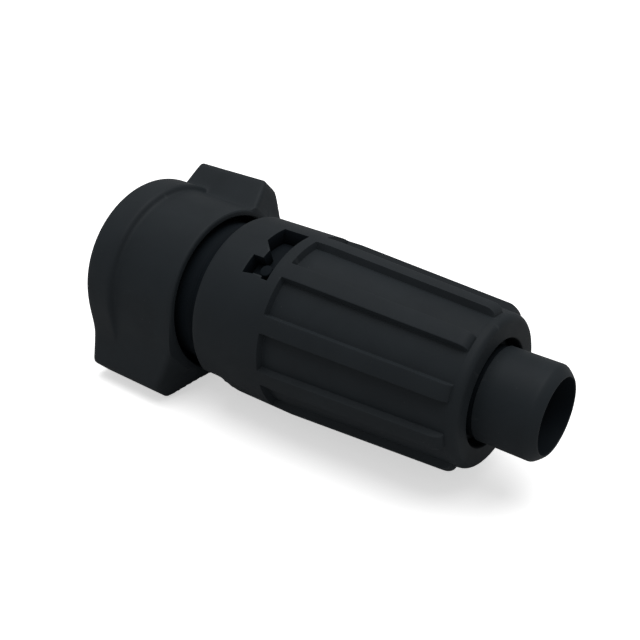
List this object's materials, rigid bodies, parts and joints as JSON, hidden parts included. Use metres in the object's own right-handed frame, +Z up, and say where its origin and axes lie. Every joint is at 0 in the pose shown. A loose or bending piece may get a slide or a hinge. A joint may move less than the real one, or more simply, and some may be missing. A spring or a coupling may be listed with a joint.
{
  "type": "drip emitter",
  "caption": "In-line drip emitter with a winged swivel hose nut, a ribbed spring-latched locking sleeve and a spigot for 16 mm drip line.",
  "frame": {"origin": "centre of the nut's inlet face, on the flow axis", "axes": "+X along the flow axis from the inlet nut to the outlet spigot, +Z up as the fitting lies on a table, the latch window facing -Y and up"},
  "size_m": [0.0875, 0.0362, 0.0348],
  "materials": {
    "nut_plastic": "satin black moulded polypropylene",
    "body_plastic": "satin black moulded acetal",
    "sleeve_plastic": "matte black moulded polypropylene with a fine grain",
    "insert_plastic": "natural white moulded acetal",
    "strainer_plastic": "blue moulded polypropylene",
    "seal_rubber": "black EPDM rubber",
    "diaphragm_rubber": "red-brown silicone rubber",
    "mesh_steel": "woven stainless steel mesh",
    "spring_steel": "drawn stainless spring wire"
  },
  "bodies": {
    "emitter_core": {"tail_piece": "body_plastic", "inlet_washer": "seal_rubber", "strainer_frame": "strainer_plastic", "strainer_mesh": "mesh_steel", "tail_seal_ring": "seal_rubber", "core_body": "body_plastic", "latch_pin": "body_plastic", "check_spring": "spring_steel", "spring_carrier": "insert_plastic", "labyrinth_core": "insert_plastic", "diaphragm": "diaphragm_rubber", "diaphragm_cover": "insert_plastic", "outlet_tube": "body_plastic", "outlet_lip_seal": "seal_rubber", "seal_backup_ring": "insert_plastic", "retainer_bush": "body_plastic", "latch_spring": "spring_steel"},
    "swivel_nut": {"winged_nut": "nut_plastic"},
    "check_valve": {"check_poppet": "insert_plastic", "poppet_seal": "seal_rubber"},
    "latch_slide": {"thrust_ring": "insert_plastic"},
    "lock_sleeve": {"locking_sleeve": "sleeve_plastic"}
  },
  "joints": [
    {"name": "nut_swivel", "type": "hinge", "parent": "emitter_core", "child": "swivel_nut", "pos_m": [0.0133, 0, 0], "axis": [1, 0, 0], "continuous": true},
    {"name": "valve_lift", "type": "slide", "parent": "emitter_core", "child": "check_valve", "axis": [1, 0, 0], "range_m": [0, 0.0015], "stiffness_N_per_m": 120, "springref_m": -0.002, "deforming": ["check_spring"]},
    {"name": "latch_release", "type": "slide", "parent": "emitter_core", "child": "latch_slide", "axis": [1, 0, 0], "range_m": [0, 0.0024], "deforming": ["latch_spring"]},
    {"name": "sleeve_turn", "type": "hinge", "parent": "latch_slide", "child": "lock_sleeve", "pos_m": [0.0511, 0, 0], "axis": [1, 0, 0], "range_deg": [0, 30]}
  ]
}
